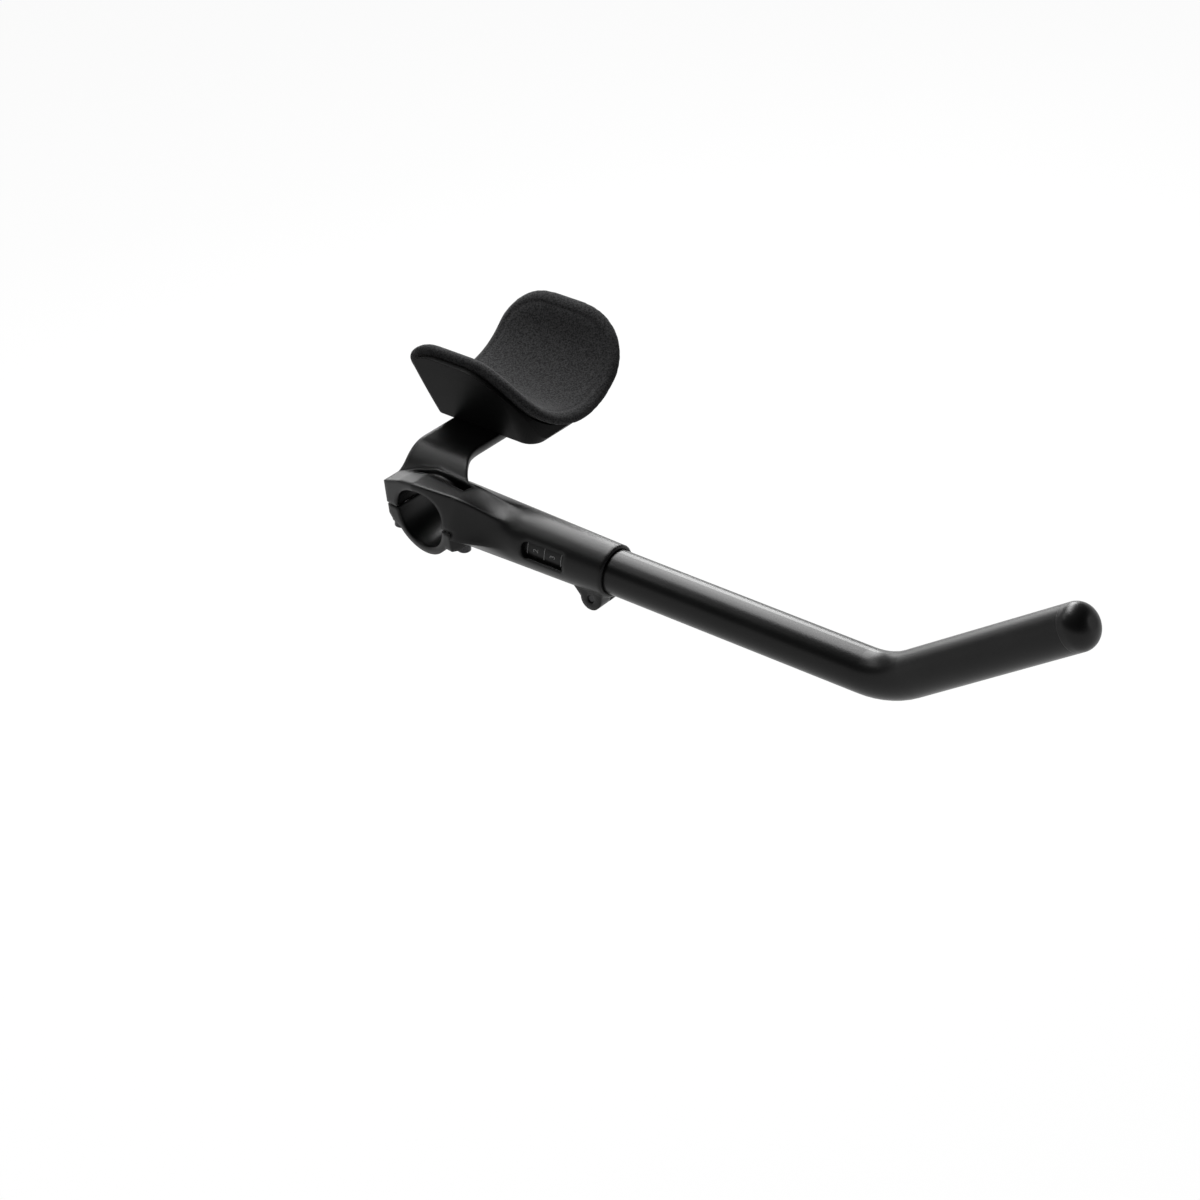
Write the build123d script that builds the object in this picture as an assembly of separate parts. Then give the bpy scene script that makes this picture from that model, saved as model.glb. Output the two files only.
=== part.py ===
"""Clip-on aero handlebar extension, the rider's left-hand unit, in millimetres.

Frame: the origin is the centre of the handlebar clamp's bore, +X runs forward along the
extension, +Y points outboard (the rider's left) and +Z is up.
"""
import os
from math import cos, radians, sin

from build123d import *

REACH = 80.0                # cutting shapes reach this far, past the bracket on every side

# Handlebar clamp
BAR_R = 15.9                # bore for a 31.8 mm handlebar
CLAMP_R = 19.7              # outside of the ring round the bar
SPLIT_HALF = 0.6            # half of the gap between clamp and cap
CLAMP_OUTBOARD = 15.0       # outboard face
CLAMP_INBOARD = -19.0       # inboard face, on the bar's axis
FACE_SLANT = 0.14           # the inboard face leans outwards to the front and to the top
REAR_X = -22.8              # flat back of the clamp
CREASE_X = (REAR_X, -12.0, -2.0)  # along the crease between crown and inboard face
CREASE_Z = (13.4, 17.7, 19.9)
SLOT_FLOOR_Z = 12.6         # floor of the crown's slot, which also stays clear of the bar's bore
SLOT_FLOOR_R = 17.5
SLOT_TIP = (-15.0, -7.6)    # the slot from above: its tip, its front and the middle of each long side
SLOT_FRONT = ((21.5, -2.8), (20.6, -8.8))
SLOT_OUTER = (2.0, -2.6)
SLOT_INNER = (4.0, -8.4)
CAP_FRONT_X = 25.6          # front of the cap's forward boss
CAP_CORNER_X = 20.5         # front of the cap at its inboard face
CAP_CORNER_Y = (-22.0, -14.0)  # the cap's front steps forward between these
CAP_GAP = 0.6               # gap between the cap's boss and the bracket
CAP_BOSS_Z = -10.2          # underside of the cap's bolt bosses
CAP_HEEL = (-6.2, (-20.4, -9.6))  # below the split at the back, and where the slope to the keel starts
CAP_KEEL_Z = -19.0
CAP_CHAMFER = 2.0           # under the front boss
CAP_INSET = 0.4             # the cap's faces behind the bracket's

# Fasteners
M4_R = 2.0
M4_HEAD_R = 3.5
M4_HEAD_H = 4.0
M4_HEX = 3.0
M4_HEX_DEPTH = 2.4
M4_WASHER_R = 4.4
WASHER_T = 0.8
THREAD_GAP = 0.05           # all round a bolt in its thread
HOLE_GAP = 0.25             # all round a bolt in a clearance hole
CLAMP_BOLT_X = 19.9
CLAMP_BOLT_Y = 9.0
CLAMP_BOLT_TOP = 9.0
M5_R = 2.5
M5_HEAD_R = 4.8
M5_HEAD_SINK = 0.1
M5_HEX = 3.0
M5_HEX_DEPTH = 1.8
BOLT_END_GAP = 0.6          # past a bolt's end in its hole
BOLT_CHAMFER = 0.4

# Sleeve that holds the extension
RIM_X = 105.9
SLEEVE_REAR_R = 15.0
SLEEVE_RIM_R = 13.1
RIM_CHAMFER = 0.7
SHOULDER_X = 20.0           # middle of the shoulder between clamp and sleeve, and its front end
SHOULDER_END_X = 50.0
SLEEVE_X = 56.0             # the turned part of the sleeve starts here
SHOULDER_CREASE = (-17.4, 18.4)  # Y and Z of the crease at the middle
SHOULDER_STEPS = 3          # sections from there to the round sleeve
FOOT_Z = -3.2               # lower edge of the inboard face
FLANK_ANGLE = 52.6          # the crown's outer flank touches the sleeve's circle at this angle
OUTBOARD_ANGLE = 17.0       # where the clamp's other corners end on that circle
RIDGE_ANGLE = 94.0
CREASE_ANGLE = 134.0
FOOT_ANGLE = 188.5
RIDGE_Y = -1.1              # where that flank starts on the crown
OUTBOARD_Z = 4.5            # top of the clamp's outboard face
BORE_END_X = 30.0           # blind end of the extension's bore
SLIDE_GAP = 0.05            # running fit, on the radius
WINDOW_X = (58.5, 83.5)
WINDOW_Z = (-2.4, 6.4)
WINDOW_CORNERS = (3.8, 1.0)  # radius of the rear and front corners
LUG_X = 97.2
LUG_Z = -14.2
LUG_R = 5.8
LUG_HALF_Y = 9.0
LUG_ROOT_Z = -8.0           # inside the sleeve's wall
LUG_SPREAD = 6.0            # how far the lug's root reaches back
LUG_HEAD_SINK = 3.2         # depth of the seat for the bolt's head
SLIT_HALF = 0.9
SLIT_REAR_X = 78.0

# Extension tube
TUBE_R = 11.1
TUBE_WALL = 2.0
TAIL_X = 44.0
BEND_X = 259.1              # corner of the bend
BEND_ANGLE = 35.0
BEND_R = 42.0
LEG = 106.4                 # from the corner to the end plug's seam
PLUG_STRAIGHT = 2.6         # straight part of the plug's head
PLUG_DOME = 8.2
STEM_LENGTH = 16.0
STEM_RIBS = 3
STEM_RIB_H = 1.4
STEM_RIB_T = 2.2

# Armrest
REST_X = -2.0
REST_Y = 65.2
SADDLE_Z = 75.0             # axis of the saddle's curve
PAD_TOP_R = 38.4
PAD_BOTTOM_R = 44.4
HOOK_T = 0.8
HOOK_X = (-24.0, 22.0)      # ends of a hook strip
HOOK_SPREAD = 11.0          # half its width, in degrees round the saddle
HOOK_ANGLE = 42.0           # from one strip to the next
SEAT_R = PAD_BOTTOM_R + HOOK_T
REST_HEAD_Z = SADDLE_Z - SEAT_R - M5_HEAD_SINK
PAD_SPREAD = 80.0           # half angle of the pad, from straight down
PAD_HALF_X = 38.0
INNER_TOP_Z = 68.4          # top of the inboard and outboard wings
OUTER_TOP_Z = 67.0
INNER_CORNERS = (36.0, 24.0)  # radius of a wing's front and rear upper corners
OUTER_CORNERS = (29.0, 28.0)
INNER_LEAN = 0.09           # how far a wing leans back, per mm outwards
OUTER_LEAN = 0.06
CUP_INSET = 3.2             # the cup's lip inside the pad's edge, inboard and outboard
CUP_OUTER_INSET = 8.0
CUP_FLOOR_Z = 24.7
CUP_LEVELS = (               # height, rear, front, half width, rear and front corner radius
    (CUP_FLOOR_Z, -34.0, 28.0, 29.0, 4.0, 8.0),
    (31.0, -34.9, 33.6, 32.0, 4.0, 14.0),
    (66.0, -40.0, 34.0, 48.0, 6.0, 22.0),
)
REST_BOLT_DX = 9.0

# Arm between clamp and armrest
ARM_T = 6.8
ARM_EDGE_R = 5.0            # rounding under its edges
ARM_START_Y = -7.4
ARM_HEADING = 20.0
ARM_STEEPEST = 46.0
ARM_LOWER_R = 14.0
ARM_UPPER_R = 18.0
ARM_RAMP = 3.5              # straight part of the S-curve
ARM_REAR_X = -22.6
ARM_FRONT_X = 6.4
ARM_NECK_Y = 22.0           # where the front edge starts to flare towards the sleeve
ARM_FLARE_R = 30.0
ARM_FLARE = 50.0            # turn of that flare
ARM_FOOT_Y = -9.0           # the arm's foot inside the crown


def along_y(face, y0, y1):
    """A face drawn in X and Z, extruded from y0 to y1."""
    return extrude(Plane.XZ.offset(-y1) * face, amount=y1 - y0)


def along_x(face, x0, x1):
    """A face drawn in Y and Z, extruded from x0 to x1."""
    return extrude(Plane.YZ.offset(x0) * face, amount=x1 - x0)


def along_z(face, z0, z1):
    """A face drawn in X and Y, extruded from z0 to z1."""
    return extrude(Plane.XY.offset(z0) * face, amount=z1 - z0)


def rectangle(x0, x1, y0, y1):
    return Pos((x0 + x1) / 2, (y0 + y1) / 2) * Rectangle(x1 - x0, y1 - y0)


def rod(start, direction, radius, length):
    """A cylinder from a point along a direction."""
    bottom = (Align.CENTER, Align.CENTER, Align.MIN)
    return Plane(origin=start, z_dir=direction) * Cylinder(radius, length, align=bottom)


def beyond_inboard_face():
    """Everything past the clamp's slanted inboard face."""
    plane = Plane(origin=(0, CLAMP_INBOARD, 0), z_dir=(-FACE_SLANT, -1, -FACE_SLANT))
    return extrude(plane * Rectangle(2 * REACH, 2 * REACH), amount=REACH)


def clamp_bolt_places():
    for end, x in (("front", CLAMP_BOLT_X), ("rear", -CLAMP_BOLT_X)):
        for side, y in (("inner", -CLAMP_BOLT_Y), ("outer", CLAMP_BOLT_Y)):
            yield f"{end}_{side}", x, y


def rest_bolt_places():
    middle = (ARM_FRONT_X + ARM_REAR_X) / 2
    return ("rear", middle - REST_BOLT_DX), ("front", middle + REST_BOLT_DX)


def inboard_y(x, z):
    return CLAMP_INBOARD - FACE_SLANT * (x + z)


def sleeve_radius(x):
    return SLEEVE_REAR_R + (SLEEVE_RIM_R - SLEEVE_REAR_R) * x / RIM_X


def on_sleeve(x, angle):
    """A point of the sleeve's circle, in Y and Z."""
    return Vector(sleeve_radius(x) * cos(radians(angle)), sleeve_radius(x) * sin(radians(angle)))


def body_section(x, crease, foot, share):
    """Outline of the body at x: a clamp's at share 0, the sleeve's circle at share 1."""
    ridge = (RIDGE_Y, crease[1])
    flank = on_sleeve(x, FLANK_ANGLE)
    keel = on_sleeve(x, 180 + FLANK_ANGLE)
    outboard = (CLAMP_OUTBOARD, OUTBOARD_Z)
    angles = (FOOT_ANGLE, CREASE_ANGLE, RIDGE_ANGLE, FLANK_ANGLE, OUTBOARD_ANGLE, FLANK_ANGLE - 180,
              FOOT_ANGLE - 360)
    corners = []
    for corner, angle in zip((foot, crease, ridge, flank, outboard, keel, foot), angles):
        corners.append(Vector(*corner) * (1 - share) + on_sleeve(x, angle) * share)
    edges = []
    for k in range(len(corners) - 1):
        middle = on_sleeve(x, (angles[k] + angles[k + 1]) / 2)
        if corners[k + 1] == corners[-2]:
            edges.append(ThreePointArc(corners[k], middle, corners[k + 1]))
        elif share > 0:
            chord = (corners[k] + corners[k + 1]) / 2
            edges.append(ThreePointArc(corners[k], chord * (1 - share) + middle * share, corners[k + 1]))
        else:
            edges.append(Line(corners[k], corners[k + 1]))
    return Plane.YZ.offset(x) * make_face(edges)


def clamp_and_shoulder():
    """The clamp's crown and slanted inboard face run into the round sleeve."""
    rear = []
    for x, z in zip(CREASE_X, CREASE_Z):
        rear.append(body_section(x, (inboard_y(x, z), z), (inboard_y(x, FOOT_Z), FOOT_Z), 0))
    front = []
    foot = (inboard_y(SHOULDER_X, FOOT_Z), FOOT_Z)
    for k in range(SHOULDER_STEPS + 1):
        part = k / SHOULDER_STEPS
        x = SHOULDER_X + (SHOULDER_END_X - SHOULDER_X) * part
        front.append(body_section(x, SHOULDER_CREASE, foot, part * part * (3 - 2 * part)))
    front.append(body_section(SLEEVE_X, SHOULDER_CREASE, foot, 1))
    body = loft(rear + front[:1], ruled=True) + loft(front)
    return body & along_y(rectangle(-REACH, REACH, -REACH, REACH), -REACH, CLAMP_OUTBOARD)


def sleeve():
    """Tapered sleeve with a chamfered rim."""
    tip = RIM_X - RIM_CHAMFER
    rear = SLEEVE_X
    profile = Polyline((rear, 0), (rear, sleeve_radius(rear)), (tip, sleeve_radius(tip)),
                       (RIM_X, SLEEVE_RIM_R - RIM_CHAMFER), (RIM_X, 0), (rear, 0))
    return revolve(Plane.XZ * make_face(profile), axis=Axis.X)


def pinch_lug():
    """Ears below the sleeve's front end, drawn from the side."""
    rear = LUG_X - LUG_R
    web = Polyline((rear, LUG_Z), (rear - LUG_SPREAD, LUG_ROOT_Z), (RIM_X - 3 * RIM_CHAMFER, LUG_ROOT_Z),
                   (LUG_X + LUG_R, LUG_Z), (rear, LUG_Z))
    ears = make_face(web) + Pos(LUG_X, LUG_Z) * Circle(LUG_R)
    return along_y(ears, -LUG_HALF_Y, LUG_HALF_Y)


def arm_edge(start, lower_r, upper_r):
    """The arm's S-curve from the clamp's crown out to the armrest, in Y and Z."""
    heading = (cos(radians(ARM_HEADING)), sin(radians(ARM_HEADING)))
    steep = (cos(radians(ARM_STEEPEST)), sin(radians(ARM_STEEPEST)))
    swing = JernArc(start, heading, lower_r, ARM_STEEPEST - ARM_HEADING)
    ramp = Line(swing @ 1, (swing @ 1) + Vector(*steep) * ARM_RAMP)
    crest = JernArc(ramp @ 1, steep, upper_r, -ARM_STEEPEST)
    shelf = Line(crest @ 1, (REST_Y + 30, (crest @ 1).Y))
    return swing + ramp + crest + shelf


def arm_start():
    """Where the arm's upper face starts, so that its shelf meets the armrest's floor."""
    heading, steep = radians(ARM_HEADING), radians(ARM_STEEPEST)
    climb = ARM_LOWER_R * (cos(heading) - cos(steep))
    climb += ARM_RAMP * sin(steep)
    climb += ARM_UPPER_R * (1 - cos(steep))
    return ARM_START_Y, CUP_FLOOR_Z - climb


def arm():
    """The arm: its S-curve from the front, cut to its outline from above, round under both edges."""
    heading = radians(ARM_HEADING)
    start = arm_start()
    below = (start[0] + ARM_T * sin(heading), start[1] - ARM_T * cos(heading))
    upper = arm_edge(start, ARM_LOWER_R, ARM_UPPER_R)
    lower = arm_edge(below, ARM_LOWER_R + ARM_T, ARM_UPPER_R - ARM_T)
    band = make_face(upper + lower + Line(upper @ 0, lower @ 0) + Line(upper @ 1, lower @ 1))
    half = (ARM_FRONT_X - ARM_REAR_X) / 2
    flare = JernArc((ARM_FRONT_X, ARM_NECK_Y), (0, -1), ARM_FLARE_R, ARM_FLARE)
    toe = Polyline(flare @ 1, ((flare @ 1).X, ARM_FOOT_Y), (ARM_REAR_X, ARM_FOOT_Y), (ARM_REAR_X, REST_Y))
    tip = ThreePointArc((ARM_REAR_X, REST_Y), (ARM_REAR_X + half, REST_Y + half), (ARM_FRONT_X, REST_Y))
    outline = flare + toe + tip + Line((ARM_FRONT_X, REST_Y), (ARM_FRONT_X, ARM_NECK_Y))
    blade = along_x(band, -REACH, REACH) & along_z(make_face(outline), -REACH, REACH)
    under = blade.faces().filter_by(lambda face: face.normal_at().Z < -0.5).edges()
    sides = blade.faces().filter_by(lambda face: abs(face.normal_at().Z) < 0.01).edges()
    return fillet(under.filter_by(lambda edge: edge in sides), ARM_EDGE_R)


def crown_slot():
    """Tapered recess beside the arm's root, pointed at the back and square at the front."""
    outer = ThreePointArc(SLOT_TIP, SLOT_OUTER, SLOT_FRONT[0])
    inner = ThreePointArc(SLOT_FRONT[1], SLOT_INNER, SLOT_TIP)
    slot = along_z(make_face(outer + Line(*SLOT_FRONT) + inner), SLOT_FLOOR_Z, REACH)
    return slot - rod((0, -REACH, 0), (0, 1, 0), SLOT_FLOOR_R, 2 * REACH)


def bracket_body():
    """Forged bracket: upper clamp half, sleeve, pinch lug and the arm to the armrest."""
    body = clamp_and_shoulder() + sleeve() + pinch_lug()
    body -= along_z(cap_plan(CAP_GAP), -REACH, SPLIT_HALF)
    body += arm()
    body -= crown_slot()
    body -= rod((0, -REACH, 0), (0, 1, 0), BAR_R, 2 * REACH)
    body -= rod((BORE_END_X, 0, 0), (1, 0, 0), TUBE_R + SLIDE_GAP, RIM_X)
    window = rectangle(WINDOW_X[0], WINDOW_X[1], WINDOW_Z[0], WINDOW_Z[1])
    window = fillet(window.vertices().group_by(Axis.X)[0], WINDOW_CORNERS[0])
    window = fillet(window.vertices().group_by(Axis.X)[-1], WINDOW_CORNERS[1])
    body -= along_y(window, -REACH, REACH)
    slit = rectangle(SLIT_REAR_X, RIM_X + REACH, -SLIT_HALF, SLIT_HALF)
    body -= along_z(slit, -REACH, 0)
    for _, x, y in clamp_bolt_places():
        body -= rod((x, y, 0), (0, 0, 1), M4_R + THREAD_GAP, CLAMP_BOLT_TOP + BOLT_END_GAP)
    body -= rod((LUG_X, -REACH, LUG_Z), (0, 1, 0), M4_R + THREAD_GAP, 2 * REACH)
    body -= rod((LUG_X, LUG_HALF_Y - LUG_HEAD_SINK, LUG_Z), (0, 1, 0), M4_HEAD_R + HOLE_GAP, REACH)
    for _, x in rest_bolt_places():
        body -= rod((x, REST_Y, 0), (0, 0, 1), M5_R + THREAD_GAP, REACH)
    return body


def cap_plan(gap):
    """The cap from below, with its inboard front corner cut off."""
    corner = CAP_CORNER_X + gap
    front = CAP_FRONT_X + gap
    outline = Polyline((-REACH, -REACH), (corner, -REACH), (corner, CAP_CORNER_Y[0]),
                       (front, CAP_CORNER_Y[1]), (front, REACH), (-REACH, REACH), (-REACH, -REACH))
    return make_face(outline)


def clamp_cap():
    """Lower half of the clamp, a half ring with a bolt boss at each end."""
    ring = Circle(CLAMP_R) & rectangle(-REACH, REACH, -REACH, -SPLIT_HALF)
    rear = Polyline((0, -SPLIT_HALF), (REAR_X, -SPLIT_HALF), (REAR_X, CAP_HEEL[0]), CAP_HEEL[1],
                    (0, CAP_KEEL_Z), (0, -SPLIT_HALF))
    front = Polyline((0, -SPLIT_HALF), (CAP_FRONT_X, -SPLIT_HALF), (CAP_FRONT_X, CAP_BOSS_Z + CAP_CHAMFER),
                     (CAP_FRONT_X - CAP_CHAMFER, CAP_BOSS_Z), (0, CAP_BOSS_Z), (0, -SPLIT_HALF))
    cap = along_y(ring + make_face(rear) + make_face(front), -REACH, CLAMP_OUTBOARD - CAP_INSET)
    cap -= Pos(0, CAP_INSET, 0) * beyond_inboard_face()
    cap &= along_z(cap_plan(0), -REACH, REACH)
    cap -= rod((0, -REACH, 0), (0, 1, 0), BAR_R, 2 * REACH)
    for _, x, y in clamp_bolt_places():
        cap -= rod((x, y, -REACH), (0, 0, 1), M4_R + HOLE_GAP, 2 * REACH)
        cap -= rod((x, y, CAP_BOSS_Z), (0, 0, -1), M4_WASHER_R + HOLE_GAP, REACH)
    return cap


def socket_bolt(seat, direction, length):
    """M4 socket head bolt: the seat is under the head, the direction runs down the shank."""
    axis = Vector(*direction)
    head = rod(Vector(*seat) - axis * M4_HEAD_H, direction, M4_HEAD_R, M4_HEAD_H)
    head = chamfer(head.edges().sort_by(Axis(seat, direction))[0], BOLT_CHAMFER)
    top = Plane(origin=Vector(*seat) - axis * M4_HEAD_H, z_dir=direction)
    socket = extrude(top * RegularPolygon(M4_HEX / 2, 6, major_radius=False), amount=M4_HEX_DEPTH)
    shank = rod(seat, direction, M4_R, length)
    shank = chamfer(shank.edges().sort_by(Axis(seat, direction))[-1], BOLT_CHAMFER)
    return head + shank - socket


def washer(seat, direction):
    ring = Circle(M4_WASHER_R) - Circle(M4_R + HOLE_GAP)
    return extrude(Plane(origin=seat, z_dir=direction) * ring, amount=WASHER_T)


def extension_path():
    bend = radians(BEND_ANGLE)
    end = (BEND_X + LEG * cos(bend), 0, LEG * sin(bend))
    return FilletPolyline((TAIL_X, 0, 0), (BEND_X, 0, 0), end, radius=BEND_R)


def extension_tube():
    """One length of tube with a single upward bend."""
    path = extension_path()
    start = Plane(origin=(TAIL_X, 0, 0), z_dir=(1, 0, 0))
    wall = Circle(TUBE_R) - Circle(TUBE_R - TUBE_WALL)
    return sweep(start * wall, path=path)


def plug_plane():
    bend = radians(BEND_ANGLE)
    origin = (BEND_X + LEG * cos(bend), 0, LEG * sin(bend))
    return Plane(origin=origin, x_dir=(0, 1, 0), z_dir=(cos(bend), 0, sin(bend)))


def end_plug():
    """Domed plug pressed into the tube on a ribbed stem."""
    tip = PLUG_STRAIGHT + PLUG_DOME
    profile = rectangle(0, TUBE_R, 0, tip)
    profile = fillet(profile.vertices().group_by(Axis.Y)[-1].sort_by(Axis.X)[-1], PLUG_DOME)
    solid = revolve(Plane.XZ * profile, axis=Axis.Z)
    bore = TUBE_R - TUBE_WALL - THREAD_GAP
    stem = Pos(0, 0, -STEM_LENGTH / 2) * Cylinder(bore - STEM_RIB_H, STEM_LENGTH)
    for k in range(STEM_RIBS):
        stem += Pos(0, 0, -STEM_LENGTH * (k + 0.5) / STEM_RIBS) * Cylinder(bore, STEM_RIB_T)
    return plug_plane() * (solid + stem)


def saddle(inner_r, outer_r, spread):
    """A trough round the armrest's axis, from -spread to +spread degrees, over its whole length."""
    across, down = REACH * sin(radians(spread)), REACH * cos(radians(spread))
    ring = Circle(outer_r) - Circle(inner_r)
    wedge = Polyline((0, 0), (-across, -down), (0, -2 * REACH), (across, -down), (0, 0))
    face = Pos(REST_Y, SADDLE_Z) * (ring & make_face(wedge))
    return along_x(face, REST_X - PAD_HALF_X, REST_X + PAD_HALF_X)


def side_profile(inset, corners, low, top):
    """The armrest from the side: upright ends and round upper corners."""
    x0 = REST_X - PAD_HALF_X + inset
    x1 = REST_X + PAD_HALF_X - inset
    face = rectangle(x0, x1, low, top - inset)
    rear = face.vertices().group_by(Axis.Y)[-1].sort_by(Axis.X)[0]
    face = fillet([rear], corners[1] - inset)
    front = face.vertices().group_by(Axis.X)[-1].sort_by(Axis.Y)[-1]
    return Plane.XZ.offset(-REST_Y) * fillet([front], corners[0] - inset)


def wing_profiles(inner_inset, outer_inset, low):
    """The two wings from the side, each leaning back as it goes out."""
    inner = side_profile(inner_inset, INNER_CORNERS, low, INNER_TOP_Z)
    outer = side_profile(outer_inset, OUTER_CORNERS, low, OUTER_TOP_Z)
    inboard = extrude(inner, REACH, dir=(-INNER_LEAN, -1, 0))
    return inboard + extrude(outer, REACH, dir=(-OUTER_LEAN, 1, 0))


def armrest_pad():
    """Foam pad bent to the saddle."""
    return saddle(PAD_TOP_R, PAD_BOTTOM_R, PAD_SPREAD) & wing_profiles(0, 0, 0)


def cup_outline(z, rear, front, half, rear_r, front_r):
    """The cup's hull seen from above at one height."""
    face = rectangle(rear, front, REST_Y - half, REST_Y + half)
    face = fillet(face.vertices().group_by(Axis.X)[0], rear_r)
    face = fillet(face.vertices().group_by(Axis.X)[-1], front_r)
    return Plane.XY.offset(z) * face


def armrest_cup():
    """Moulded cup: a hull with a round bow on a flat floor, and the pad's seat sunk into its top."""
    hull = loft([cup_outline(*level) for level in CUP_LEVELS])
    cup = hull & wing_profiles(CUP_INSET, CUP_OUTER_INSET, CUP_FLOOR_Z)
    cup -= rod((-REACH, REST_Y, SADDLE_Z), (1, 0, 0), SEAT_R, 2 * REACH)
    for _, x in rest_bolt_places():
        cup -= countersunk(x, HOLE_GAP)
        cup -= rod((x, REST_Y, REST_HEAD_Z), (0, 0, 1), M5_HEAD_R + HOLE_GAP, REACH)
    return cup


def countersunk(x, gap):
    """Flat head and shank of a screw through the cup's floor, grown by a gap for its hole."""
    head_r = M5_HEAD_R + gap
    shank_r = M5_R + gap
    bottom = (Align.CENTER, Align.CENTER, Align.MIN)
    top = Plane(origin=(x, REST_Y, REST_HEAD_Z), z_dir=(0, 0, -1))
    head = top * Cone(head_r, shank_r, head_r - shank_r, align=bottom)
    length = REST_HEAD_Z - CUP_FLOOR_Z + ARM_T - BOLT_END_GAP
    return head + rod((x, REST_Y, REST_HEAD_Z), (0, 0, -1), shank_r, length)


def rest_bolt(x):
    """Flat head screw that holds the cup on the arm."""
    top = Plane(origin=(x, REST_Y, REST_HEAD_Z), z_dir=(0, 0, -1))
    socket = extrude(top * RegularPolygon(M5_HEX / 2, 6, major_radius=False), amount=M5_HEX_DEPTH)
    return countersunk(x, 0) - socket


def hook_strip(angle):
    """Strip of hook tape on the cup's seat."""
    strip = saddle(PAD_BOTTOM_R, SEAT_R, HOOK_SPREAD)
    trim = rectangle(REST_X + HOOK_X[0], REST_X + HOOK_X[1], 0, REACH)
    strip = strip & along_y(trim, REST_Y - REACH, REST_Y + REACH)
    return strip.rotate(Axis((0, REST_Y, SADDLE_Z), (1, 0, 0)), angle)


def build():
    down = (0, 0, -1)
    up = (0, 0, 1)
    parts = {
        "bracket_body": bracket_body(),
        "clamp_cap": clamp_cap(),
        "extension_tube": extension_tube(),
        "end_plug": end_plug(),
        "armrest_cup": armrest_cup(),
        "armrest_pad": armrest_pad(),
    }
    for place, x, y in clamp_bolt_places():
        seat = (x, y, CAP_BOSS_Z)
        parts[f"clamp_washer_{place}"] = washer(seat, down)
        under = (x, y, CAP_BOSS_Z - WASHER_T)
        parts[f"clamp_bolt_{place}"] = socket_bolt(under, up, CLAMP_BOLT_TOP - under[2])
    seat = (LUG_X, LUG_HALF_Y - LUG_HEAD_SINK, LUG_Z)
    inboard = (0, -1, 0)
    parts["pinch_bolt"] = socket_bolt(seat, inboard, 2 * LUG_HALF_Y - LUG_HEAD_SINK - BOLT_END_GAP)
    for place, x in rest_bolt_places():
        parts[f"armrest_bolt_{place}"] = rest_bolt(x)
    for place, steps in (("inner", -1), ("middle", 0), ("outer", 1)):
        parts[f"hook_strip_{place}"] = hook_strip(steps * HOOK_ANGLE)
    return parts


os.makedirs("parts", exist_ok=True)
for node, shape in build().items():
    export_step(shape, f"parts/{node}.step")
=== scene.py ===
"""Looks of the clip-on aero handlebar extension, in metres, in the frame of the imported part."""
from math import atan2, cos, exp, hypot, pi, radians, sin, sqrt

import bpy
from mathutils import Matrix, Vector
from mathutils.kdtree import KDTree

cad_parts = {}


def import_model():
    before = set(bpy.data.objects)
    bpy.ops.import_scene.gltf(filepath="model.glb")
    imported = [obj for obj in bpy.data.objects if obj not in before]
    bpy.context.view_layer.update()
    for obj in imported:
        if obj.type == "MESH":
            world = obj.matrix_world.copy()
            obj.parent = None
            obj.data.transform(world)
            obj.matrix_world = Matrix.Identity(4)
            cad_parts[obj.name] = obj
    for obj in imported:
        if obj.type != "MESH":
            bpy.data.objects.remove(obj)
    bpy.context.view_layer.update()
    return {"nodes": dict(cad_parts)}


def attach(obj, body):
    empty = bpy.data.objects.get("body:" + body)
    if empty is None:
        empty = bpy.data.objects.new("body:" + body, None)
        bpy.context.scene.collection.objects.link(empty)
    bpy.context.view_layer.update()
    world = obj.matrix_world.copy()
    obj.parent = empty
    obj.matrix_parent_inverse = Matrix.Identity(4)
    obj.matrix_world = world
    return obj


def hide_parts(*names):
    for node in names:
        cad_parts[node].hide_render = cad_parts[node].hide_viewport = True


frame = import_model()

MM = 0.001

# The photograph's camera: where it looks from, its focal length in pixels of a square frame, and the
# pixel where the middle of the sleeve's rim falls
AZIMUTH, ELEVATION = radians(37.17), radians(32.0)
FRAME_PX = 1200
FOCAL_PX = 3078.84
RIM = Vector((0.1059, 0, 0))
RIM_PX = (616.72, 571.71)
DISTANCE = 1.45295
SENSOR_WIDTH = 36.0         # in millimetres, as Blender takes it
CLIP = (0.05, 60.0)

# Studio
FLOOR_HALF, FLOOR_Z = 9.0, -0.42
FLOOR_SHADE = 0.86
FLOOR_WHITE = 0.95          # share of plain white on the floor, to the eye and in reflections
HORIZON = (radians(10.0), radians(17.0))  # heights between which the world goes from bright to dark
HORIZON_LEVEL, OVERHEAD_LEVEL = 1.0, 0.03

# Materials
NOISE_RANGE = (0.3, 0.7)    # part of a noise that is spread over a range of values
TINT_RANGE = (0.35, 0.65)   # part of a noise over which one grey turns into another
NOISE_DETAIL = 3.0
BLOTCH_SCALE = 45.0         # unevenness of a satin black, in waves per metre and as a share of its grey
BLOTCH = 0.2
EDGE_SAMPLES = 8
SHARP_ANGLE = radians(32.0)  # edges bent more than this stay sharp

# Armrest pad, as in the solids: its middle, the axis of the saddle's curve, its radii and half its length
REST_X, REST_Y, SADDLE_Z = -2.0 * MM, 65.2 * MM, 75.0 * MM
PAD_TOP_R, PAD_BOTTOM_R = 38.4 * MM, 44.4 * MM
PAD_HALF_X = 38.0 * MM

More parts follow.
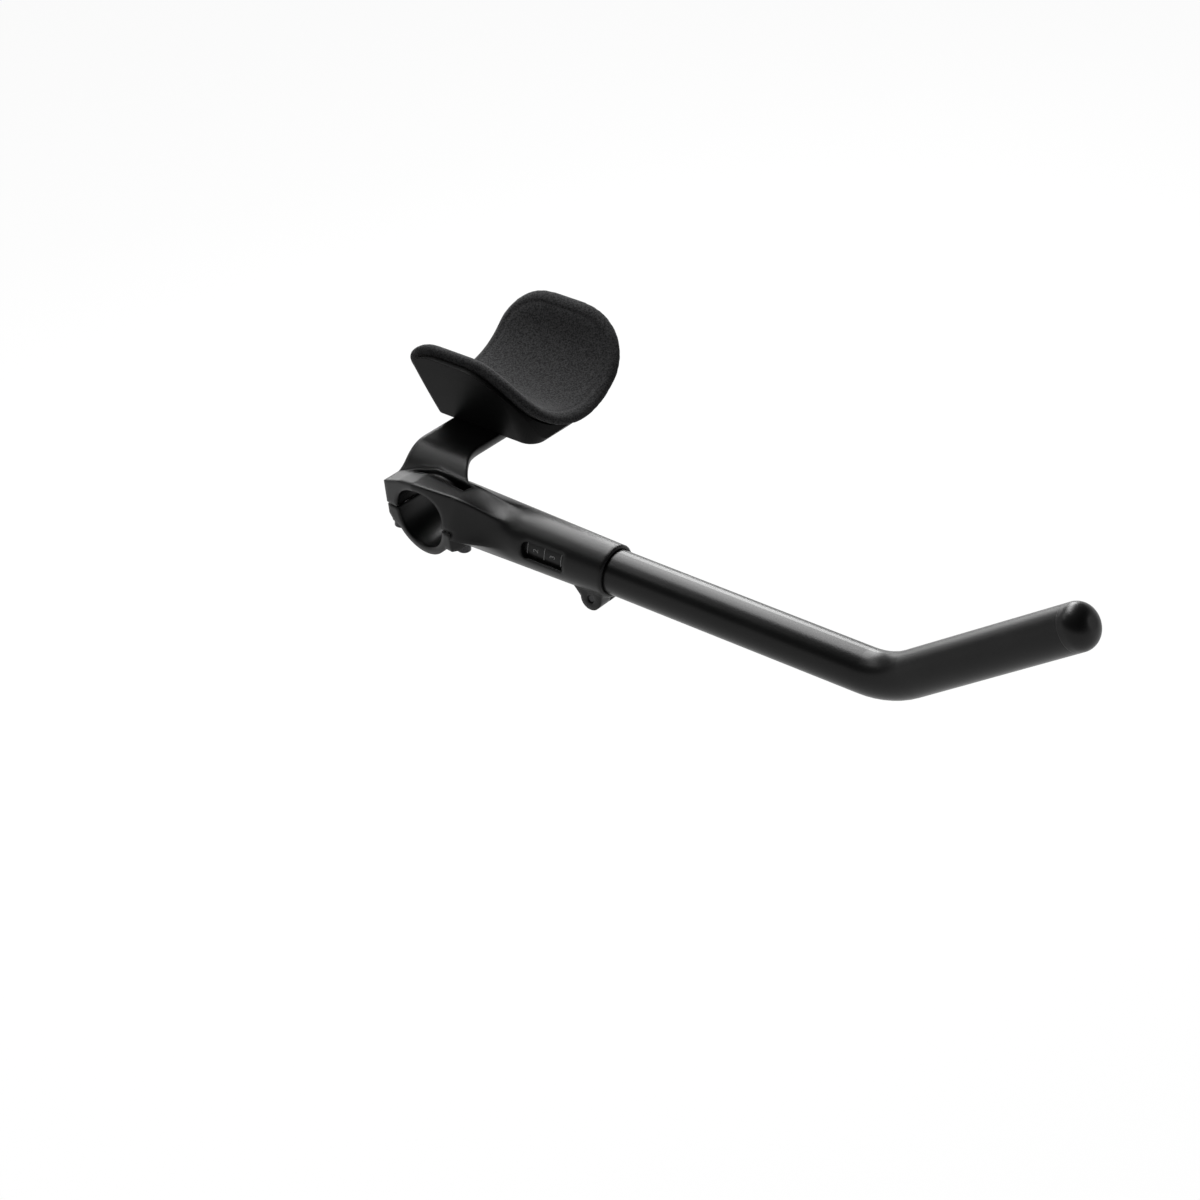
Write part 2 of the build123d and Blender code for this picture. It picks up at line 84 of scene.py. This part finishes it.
# Form of the pad's cover, close round that solid
PAD_RIM_R = 42.6 * MM       # where the pad is widest
PAD_LIMITS = (radians(-81.0), radians(79.0))  # ends of the wings, from straight down
INNER_WING = {"top": 68.9 * MM, "rear": 24.0 * MM, "front": 36.0 * MM, "lean": 0.09}
OUTER_WING = {"top": 67.0 * MM, "rear": 28.0 * MM, "front": 29.0 * MM, "lean": 0.06}
PAD_GROW = 1.5 * MM         # a round edge stands this far past the solid's square one
PAD_EDGE = 5.0 * MM         # width of the rolled edge above the rim, and of the small round below
PAD_FOOT = 1.0 * MM
END_STEPS = 160             # steps from wing to wing along the pad's front and rear ends
OUTLINE_POINTS = 360
OUTLINE_PASSES = 10         # how often the outline's corners are averaged
PAD_RINGS, EDGE_RINGS = 60, 10  # across the flat of the pad, and over each half of its edge

# The cover's mesh, its swelling as cloth and its pressed groove
PAD_VOXEL = 1.25 * MM
PAD_SWELL = 0.8 * MM        # most that the cover may swell
CLOTH_PRESSURE, CLOTH_MASS, CLOTH_FRAMES = 4.0, 0.1, 20
CALM_PASSES = 12            # how often the swelling is averaged
SMOOTH_FACTOR, SMOOTH_PASSES = 0.5, 6
GROOVE_INSET, GROOVE_WIDTH, GROOVE_DEPTH = 5.6 * MM, 1.3 * MM, 0.4 * MM

# Scale on the extension tube, seen through the sleeve's window
TUBE_R = 11.1 * MM
SCALE_START, SCALE_STEP = 51.0 * MM, 10.0 * MM
SCALE_LINES = 6
SCALE_Z = (-1.0 * MM, 5.2 * MM)
LINE_WIDTH = 0.45 * MM
LINE_STEPS = 8
DIGIT_SIZE = 4.2 * MM
PRINT_LIFT = 0.02 * MM


def new_material(name):
    """An empty node material: the material, its shader and two helpers to add and link nodes."""
    material = bpy.data.materials.new(name)
    material.use_nodes = True
    tree = material.node_tree
    shader = tree.nodes["Principled BSDF"]

    def add(kind, **values):
        node = tree.nodes.new(kind)
        for key, value in values.items():
            if key in node.inputs:
                node.inputs[key].default_value = value
            else:
                setattr(node, key, value)
        return node

    return material, shader, add, tree.links.new


def grain(add, link, scale, detail=NOISE_DETAIL):
    """Noise in object space; the scale is waves per metre."""
    place = add("ShaderNodeTexCoord")
    noise = add("ShaderNodeTexNoise", Scale=scale, Detail=detail)
    link(place.outputs["Object"], noise.inputs["Vector"])
    return noise.outputs["Fac"]


def cells(add, link, scale, randomness):
    """Distance from the middle of the nearest cell, in object space; the scale is cells per metre."""
    place = add("ShaderNodeTexCoord")
    pattern = add("ShaderNodeTexVoronoi", Scale=scale, Randomness=randomness)
    link(place.outputs["Object"], pattern.inputs["Vector"])
    return pattern.outputs["Distance"]


def spread(add, link, value, low, high):
    """Maps noise to a range of values."""
    node = add("ShaderNodeMapRange")
    node.inputs["From Min"].default_value, node.inputs["From Max"].default_value = NOISE_RANGE
    node.inputs["To Min"].default_value = low
    node.inputs["To Max"].default_value = high
    link(value, node.inputs["Value"])
    return node.outputs["Result"]


def tint(add, link, value, low, high):
    """Turns low values into one colour and high ones into another."""
    node = add("ShaderNodeValToRGB")
    for element, position, colour in zip(node.color_ramp.elements, TINT_RANGE, (low, high)):
        element.position = position
        element.color = (*colour, 1)
    link(value, node.inputs["Fac"])
    return node.outputs["Color"]


def grey(level):
    return (level, level, level)


def bump(add, link, shader, height, distance):
    """Relief of a surface, from a height and its depth."""
    node = add("ShaderNodeBump", Distance=distance)
    link(height, node.inputs["Height"])
    link(node.outputs["Normal"], shader.inputs["Normal"])
    return node


def satin(name, shade, rough, grain_scale, grain_depth, specular, edge):
    """Satin black with a fine grain, slightly uneven tone and gloss, and edges softened by shading."""
    material, shader, add, link = new_material(name)
    blotches = grain(add, link, BLOTCH_SCALE)
    dark, light = grey((1 - BLOTCH) * shade), grey((1 + BLOTCH) * shade)
    link(tint(add, link, blotches, dark, light), shader.inputs["Base Color"])
    fine = grain(add, link, grain_scale)
    link(spread(add, link, fine, *rough), shader.inputs["Roughness"])
    relief = bump(add, link, shader, fine, grain_depth)
    if edge:
        soft_edge = add("ShaderNodeBevel", samples=EDGE_SAMPLES, Radius=edge)
        link(soft_edge.outputs["Normal"], relief.inputs["Normal"])
    shader.inputs["Specular IOR Level"].default_value = specular
    return material


def knit_fabric():
    """Charcoal knit: tiny loops with an uneven, slightly fuzzy face."""
    loop_light, loop_dark = (0.043, 0.043, 0.044), (0.014, 0.014, 0.0145)
    material, shader, add, link = new_material("knit_fabric")
    loops = cells(add, link, scale=1300.0, randomness=0.9)
    mottle = grain(add, link, scale=900.0, detail=4.0)
    mix = add("ShaderNodeMix", data_type="FLOAT", Factor=0.55)
    link(loops, mix.inputs["A"])
    link(mottle, mix.inputs["B"])
    height = mix.outputs["Result"]
    link(tint(add, link, height, loop_light, loop_dark), shader.inputs["Base Color"])
    bump(add, link, shader, height, distance=0.3 * MM)
    shader.inputs["Roughness"].default_value = 0.95
    shader.inputs["Specular IOR Level"].default_value = 0.1
    shader.inputs["Sheen Weight"].default_value = 0.08
    shader.inputs["Sheen Roughness"].default_value = 0.4
    return material


def hook_tape():
    """Black tape covered in tiny hooks."""
    hook_light, hook_dark = grey(0.04), grey(0.012)
    material, shader, add, link = new_material("hook_tape")
    hooks = cells(add, link, scale=900.0, randomness=0.3)
    link(tint(add, link, hooks, hook_light, hook_dark), shader.inputs["Base Color"])
    bump(add, link, shader, hooks, distance=0.6 * MM)
    shader.inputs["Roughness"].default_value = 0.7
    return material


def black_steel():
    """Black oxide on steel."""
    steel_dark, steel_light = (0.02, 0.02, 0.021), (0.05, 0.05, 0.052)
    material, shader, add, link = new_material("black_steel")
    fine = grain(add, link, scale=1800.0)
    link(tint(add, link, fine, steel_dark, steel_light), shader.inputs["Base Color"])
    link(spread(add, link, fine, low=0.28, high=0.42), shader.inputs["Roughness"])
    shader.inputs["Metallic"].default_value = 0.8
    return material


def laser_mark():
    """Pale laser mark on the tube."""
    mark_dark, mark_light = grey(0.16), grey(0.24)
    material, shader, add, link = new_material("laser_mark")
    fine = grain(add, link, scale=2500.0)
    link(tint(add, link, fine, mark_dark, mark_light), shader.inputs["Base Color"])
    shader.inputs["Roughness"].default_value = 0.6
    return material


def mesh_piece(name, vertices, faces, material):
    """A new object of one mesh and one material."""
    mesh = bpy.data.meshes.new(name)
    mesh.from_pydata(vertices, [], faces)
    mesh.validate()
    mesh.materials.append(material)
    piece = bpy.data.objects.new(name, mesh)
    bpy.context.scene.collection.objects.link(piece)
    return piece


def apply_modifiers(piece):
    """Puts what a piece's modifiers make of it in place of its mesh."""
    graph = bpy.context.evaluated_depsgraph_get()
    mesh = bpy.data.meshes.new_from_object(piece.evaluated_get(graph))
    piece.modifiers.clear()
    piece.data = mesh


def corner_cut(radius, height, top):
    """How far a wing's round upper corner draws its end in at a height."""
    rise = min(max(0.0, height - top + radius), radius)
    return radius - sqrt(radius ** 2 - rise ** 2)


def pad_ends(angle):
    """The pad's rear and front end at an angle round the saddle."""
    wing = INNER_WING if angle < 0 else OUTER_WING
    height = SADDLE_Z - PAD_RIM_R * cos(angle)
    lean = wing["lean"] * PAD_RIM_R * abs(sin(angle))
    rear = REST_X - PAD_HALF_X + max(0.0, corner_cut(wing["rear"], height, wing["top"]) - lean)
    front = REST_X + PAD_HALF_X - corner_cut(wing["front"], height, wing["top"]) - lean
    return rear, front


def evenly(line, count):
    """Points at equal steps along a closed line."""
    lengths = [0.0]
    for k, point in enumerate(line):
        lengths.append(lengths[-1] + (line[(k + 1) % len(line)] - point).length)
    points = []
    k = 0
    for n in range(count):
        target = lengths[-1] * n / count
        while lengths[k + 1] < target:
            k += 1
        share = (target - lengths[k]) / (lengths[k + 1] - lengths[k])
        points.append(line[k].lerp(line[(k + 1) % len(line)], share))
    return points


def inset(outline, gap):
    """A closed line moved inwards."""
    moved = []
    for k, point in enumerate(outline):
        along = (outline[(k + 1) % len(outline)] - outline[k - 1]).normalized()
        moved.append(point + Vector((-along.y, along.x)) * gap)
    return moved


def pad_outline(count):
    """The pad's outline, flattened: how far along X and how far round the saddle."""
    low, high = PAD_LIMITS
    angles = [low + (high - low) * k / END_STEPS for k in range(END_STEPS + 1)]
    line = [Vector((pad_ends(angle)[1], PAD_RIM_R * angle)) for angle in angles]
    line += [Vector((pad_ends(angle)[0], PAD_RIM_R * angle)) for angle in reversed(angles)]
    points = evenly(line, count)
    for _ in range(OUTLINE_PASSES):
        points = [(points[k - 1] + points[k] * 2 + points[(k + 1) % count]) / 4 for k in range(count)]
    return inset(points, -PAD_GROW)


def on_saddle(place, radius):
    """A point of the flattened pad, bent round the saddle's axis at a radius."""
    angle = place.y / PAD_RIM_R
    return Vector((place.x, REST_Y + radius * sin(angle), SADDLE_Z - radius * cos(angle)))


def off_saddle(point):
    """The flattened place and the radius of a point on the pad."""
    across, down = point.y - REST_Y, SADDLE_Z - point.z
    return Vector((point.x, PAD_RIM_R * atan2(across, down))), hypot(across, down)


def pad_form(name, material, outline):
    """Closed form of the pad: rings from the middle of its top, over its edge, to the middle below."""
    top, foot = inset(outline, PAD_EDGE), inset(outline, PAD_FOOT)
    middle = sum(outline, Vector((0, 0))) / len(outline)
    rings = []
    for k in range(1, PAD_RINGS):
        rings.append(([middle.lerp(point, k / PAD_RINGS) for point in top], PAD_TOP_R))
    for k in range(EDGE_RINGS + 1):
        turn = pi / 2 * k / EDGE_RINGS
        radius = PAD_RIM_R - (PAD_RIM_R - PAD_TOP_R) * cos(turn)
        rings.append((inset(outline, PAD_EDGE * (1 - sin(turn))), radius))
    for k in range(1, EDGE_RINGS + 1):
        turn = pi / 2 * k / EDGE_RINGS
        radius = PAD_RIM_R + (PAD_BOTTOM_R - PAD_RIM_R) * sin(turn)
        rings.append((inset(outline, PAD_FOOT * (1 - cos(turn))), radius))
    for k in range(PAD_RINGS - 1, 0, -1):
        rings.append(([middle.lerp(point, k / PAD_RINGS) for point in foot], PAD_BOTTOM_R))
    around = len(outline)
    vertices = [on_saddle(middle, PAD_TOP_R)]
    for points, radius in rings:
        vertices += [on_saddle(point, radius) for point in points]
    vertices.append(on_saddle(middle, PAD_BOTTOM_R))
    faces = [(0, 1 + k, 1 + (k + 1) % around) for k in range(around)]
    for ring in range(len(rings) - 1):
        a, b = 1 + ring * around, 1 + (ring + 1) * around
        faces += [(a + k, b + k, b + (k + 1) % around, a + (k + 1) % around) for k in range(around)]
    last = 1 + (len(rings) - 1) * around
    faces += [(last + (k + 1) % around, last + k, len(vertices) - 1) for k in range(around)]
    return mesh_piece(name, vertices, faces, material)


def calmed(pad, moves):
    """Movements averaged with those of their neighbours, which takes small wrinkles out."""
    around = [[] for _ in moves]
    for edge in pad.data.edges:
        a, b = edge.vertices
        around[a].append(b)
        around[b].append(a)
    for _ in range(CALM_PASSES):
        moves = [sum((moves[n] for n in near), move) / (len(near) + 1) for move, near in zip(moves, around)]
    return moves


def swell(pad):
    """Inflates the cover as cloth, with its underside held down, as far as it may swell."""
    held = pad.vertex_groups.new(name="held")
    low = [vertex.index for vertex in pad.data.vertices if off_saddle(vertex.co)[1] > PAD_RIM_R]
    held.add(low, 1.0, "REPLACE")
    cloth = pad.modifiers.new("cover", "CLOTH")
    cloth.settings.mass = CLOTH_MASS
    cloth.settings.use_pressure = True
    cloth.settings.uniform_pressure_force = CLOTH_PRESSURE
    cloth.settings.effector_weights.gravity = 0.0
    cloth.settings.vertex_group_mass = held.name
    cloth.point_cache.frame_start, cloth.point_cache.frame_end = 1, CLOTH_FRAMES
    for number in range(1, CLOTH_FRAMES + 1):
        bpy.context.scene.frame_set(number)
    graph = bpy.context.evaluated_depsgraph_get()
    swollen = [vertex.co.copy() for vertex in pad.evaluated_get(graph).data.vertices]
    pad.modifiers.remove(cloth)
    bpy.context.scene.frame_set(1)
    moves = []
    for vertex, target in zip(pad.data.vertices, swollen):
        move = target - vertex.co
        far = move.length > PAD_SWELL
        moves.append(move * (PAD_SWELL / move.length) if far else move)
    for vertex, move in zip(pad.data.vertices, calmed(pad, moves)):
        vertex.co += move


def press_groove(pad, outline):
    """A shallow groove along the inner side of the rolled edge."""
    tree = KDTree(len(outline))
    for k, point in enumerate(outline):
        tree.insert((point.x, point.y, 0), k)
    tree.balance()
    for vertex in pad.data.vertices:
        place, radius = off_saddle(vertex.co)
        if radius < PAD_RIM_R:
            gap = tree.find((place.x, place.y, 0))[2] - GROOVE_INSET
            vertex.co = on_saddle(place, radius + GROOVE_DEPTH * exp(-(gap / GROOVE_WIDTH) ** 2))


def armrest_pad(material):
    """Foam pad in a knitted cover, swollen as cloth over its rounded edge."""
    outline = pad_outline(OUTLINE_POINTS)
    form = pad_form("pad_form", material, outline)
    pad = pad_form("padded_rest", material, outline)
    pad.modifiers.new("even_mesh", "REMESH").voxel_size = PAD_VOXEL
    pad.modifiers.new("on_form", "SHRINKWRAP").target = form
    apply_modifiers(pad)
    bpy.data.objects.remove(form)
    swell(pad)
    smooth = pad.modifiers.new("smooth", "SMOOTH")
    smooth.factor, smooth.iterations = SMOOTH_FACTOR, SMOOTH_PASSES
    pad.modifiers.new("fine", "SUBSURF").levels = 1
    apply_modifiers(pad)
    press_groove(pad, outline)
    for polygon in pad.data.polygons:
        polygon.use_smooth = True
    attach(pad, "bracket")
    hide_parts("armrest_pad")


def on_tube(x, height):
    """A point just above the tube's inboard side, a way along it and a way up its curve."""
    angle = height / TUBE_R
    radius = TUBE_R + PRINT_LIFT
    return Vector((x, -radius * cos(angle), radius * sin(angle)))


def scale_line(x):
    """A line round part of the tube."""
    low, high = SCALE_Z
    vertices = []
    for k in range(LINE_STEPS + 1):
        height = low + (high - low) * k / LINE_STEPS
        vertices += [on_tube(x - LINE_WIDTH / 2, height), on_tube(x + LINE_WIDTH / 2, height)]
    faces = [(2 * k, 2 * k + 1, 2 * k + 3, 2 * k + 2) for k in range(LINE_STEPS)]
    return vertices, faces


def scale_digit(digit, x):
    """A numeral with its top to the rear, wrapped on the tube's curve."""
    curve = bpy.data.curves.new("numeral", "FONT")
    curve.body = str(digit)
    curve.size = DIGIT_SIZE
    curve.align_x, curve.align_y = "CENTER", "CENTER"
    letter = bpy.data.objects.new("numeral", curve)
    mesh = bpy.data.meshes.new_from_object(letter)
    middle = (SCALE_Z[0] + SCALE_Z[1]) / 2
    vertices = [on_tube(x - vertex.co.y, middle + vertex.co.x) for vertex in mesh.vertices]
    faces = [tuple(polygon.vertices) for polygon in mesh.polygons]
    bpy.data.objects.remove(letter)
    return vertices, faces


def tube_scale(material):
    """Lines a centimetre apart with numerals between them, marked on the tube."""
    vertices, faces = [], []
    marks = [scale_line(SCALE_START + SCALE_STEP * k) for k in range(SCALE_LINES)]
    marks += [scale_digit(k + 1, SCALE_START + SCALE_STEP * (k + 0.5)) for k in range(SCALE_LINES - 1)]
    for points, polygons in marks:
        start = len(vertices)
        vertices += points
        faces += [tuple(start + index for index in polygon) for polygon in polygons]
    scale = mesh_piece("tube_scale", vertices, faces, material)
    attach(scale, "extension")


def dress(names, material):
    """Gives CAD nodes a material and smooth shading with sharp edges kept."""
    for name in names:
        node = frame["nodes"][name]
        node.data.materials.clear()
        node.data.materials.append(material)
        for polygon in node.data.polygons:
            polygon.use_smooth = True
            polygon.material_index = 0
        node.data.set_sharp_from_angle(angle=SHARP_ANGLE)


def dress_solids():
    """The finish of every CAD node that stays in sight."""
    dress(["bracket_body", "clamp_cap"],
          satin("anodised_alloy", shade=0.005, rough=(0.33, 0.39), grain_scale=3200.0,
                grain_depth=0.02 * MM, specular=0.22, edge=3.0 * MM))
    dress(["extension_tube"],
          satin("tube_alloy", shade=0.006, rough=(0.28, 0.33), grain_scale=4200.0,
                grain_depth=0.005 * MM, specular=0.2, edge=0))
    dress(["end_plug"],
          satin("plug_plastic", shade=0.006, rough=(0.31, 0.37), grain_scale=2400.0,
                grain_depth=0.02 * MM, specular=0.24, edge=0.5 * MM))
    dress(["armrest_cup"],
          satin("cup_plastic", shade=0.004, rough=(0.42, 0.5), grain_scale=2600.0,
                grain_depth=0.03 * MM, specular=0.035, edge=0.5 * MM))
    dress([name for name in frame["nodes"] if "hook_strip" in name], hook_tape())
    dress([name for name in frame["nodes"] if "bolt" in name or "washer" in name], black_steel())


def floor():
    """Pale floor well below the part, white to the eye, which keeps a soft shadow."""
    material, shader, add, link = new_material("floor")
    shader.inputs["Base Color"].default_value = (*grey(FLOOR_SHADE), 1)
    shader.inputs["Roughness"].default_value = 1.0
    shader.inputs["Specular IOR Level"].default_value = 0.0
    path = add("ShaderNodeLightPath")
    seen = path.outputs["Is Camera Ray"]
    for ray in ("Is Glossy Ray", "Is Transmission Ray"):
        either = add("ShaderNodeMath", operation="ADD", use_clamp=True)
        link(seen, either.inputs[0])
        link(path.outputs[ray], either.inputs[1])
        seen = either.outputs[0]
    share = add("ShaderNodeMath", operation="MULTIPLY")
    share.inputs[1].default_value = FLOOR_WHITE
    link(seen, share.inputs[0])
    white = add("ShaderNodeEmission", Strength=1.0)
    mix = add("ShaderNodeMixShader")
    link(share.outputs[0], mix.inputs["Fac"])
    link(shader.outputs["BSDF"], mix.inputs[1])
    link(white.outputs["Emission"], mix.inputs[2])
    output = next(node for node in material.node_tree.nodes if node.type == "OUTPUT_MATERIAL")
    link(mix.outputs["Shader"], output.inputs["Surface"])
    sides = [(-1, -1), (1, -1), (1, 1), (-1, 1)]
    corners = [(x * FLOOR_HALF, y * FLOOR_HALF, FLOOR_Z) for x, y in sides]
    mesh_piece("floor", corners, [(0, 1, 2, 3)], material)


def world():
    """Bright round the horizon, dark overhead, so that black surfaces keep their contrast."""
    scene_world = bpy.data.worlds.new("studio")
    scene_world.use_nodes = True
    bpy.context.scene.world = scene_world
    tree = scene_world.node_tree
    background = tree.nodes["Background"]
    place = tree.nodes.new("ShaderNodeTexCoord")
    parts = tree.nodes.new("ShaderNodeSeparateXYZ")
    tree.links.new(place.outputs["Generated"], parts.inputs["Vector"])
    ramp = tree.nodes.new("ShaderNodeMapRange")
    ramp.inputs["From Min"].default_value = sin(HORIZON[0])
    ramp.inputs["From Max"].default_value = sin(HORIZON[1])
    ramp.inputs["To Min"].default_value = HORIZON_LEVEL
    ramp.inputs["To Max"].default_value = OVERHEAD_LEVEL
    tree.links.new(parts.outputs["Z"], ramp.inputs["Value"])
    tree.links.new(ramp.outputs["Result"], background.inputs["Color"])


def add_facing(name, data, position, right, up, back):
    """A new object at a position, turned so that it looks against back."""
    thing = bpy.data.objects.new(name, data)
    bpy.context.scene.collection.objects.link(thing)
    turn = Matrix((right, up, back)).transposed().to_4x4()
    thing.matrix_world = Matrix.Translation(position) @ turn
    return thing


def softbox(name, target, away, along, size, radiance):
    """A flat lamp that faces a target: away leads from the target to it, and its long side runs along."""
    back = Vector(away).normalized()
    long_side = Vector(along)
    side = (long_side - back * long_side.dot(back)).normalized()
    light = bpy.data.lights.new(name, "AREA")
    light.shape = "RECTANGLE"
    light.size, light.size_y = size
    light.energy = radiance * pi * size[0] * size[1]
    add_facing(name, light, Vector(target) + Vector(away), side, back.cross(side), back)


def lights():
    """A long softbox above and behind draws the bright band along the tube, and smaller ones help it."""
    middle, arm, shoulder = (0.17, 0.03, 0.02), (-0.01, 0.01, 0.03), (0.036, -0.006, 0.014)
    softbox("main", middle, away=(-0.67, 0.68, 0.89), along=(0, -0.8, 0.6),
            size=(1.8, 0.42), radiance=13.5)
    softbox("low", middle, away=(-1.16, 0.56, 0.17), along=(0.43, 0.89, 0),
            size=(1.3, 0.25), radiance=4.5)
    softbox("arm", arm, away=(-0.41, -0.18, 0.67), along=(0, 1, 0.2),
            size=(0.55, 0.2), radiance=4.4)
    softbox("shoulder", shoulder, away=(-0.12, 0.27, 0.74), along=(0, 1, 0),
            size=(0.45, 0.22), radiance=4.5)


def camera():
    """The photograph's camera, set so that the sleeve's rim falls on its pixel."""
    back = Vector((sin(AZIMUTH) * cos(ELEVATION), -cos(AZIMUTH) * cos(ELEVATION), sin(ELEVATION)))
    right = Vector((cos(AZIMUTH), sin(AZIMUTH), 0))
    up = back.cross(right)
    aside = (RIM_PX[0] - FRAME_PX / 2) / FOCAL_PX * DISTANCE
    below = (RIM_PX[1] - FRAME_PX / 2) / FOCAL_PX * DISTANCE
    data = bpy.data.cameras.new("camera")
    data.sensor_width = SENSOR_WIDTH
    data.sensor_fit = "AUTO"
    data.lens = SENSOR_WIDTH * FOCAL_PX / FRAME_PX
    data.clip_start, data.clip_end = CLIP
    position = RIM - right * aside + up * below + back * DISTANCE
    bpy.context.scene.camera = add_facing("camera", data, position, right, up, back)


def main():
    dress_solids()
    armrest_pad(knit_fabric())
    tube_scale(laser_mark())
    floor()
    world()
    lights()
    camera()
    bpy.context.scene.view_settings.view_transform = "Standard"


main()
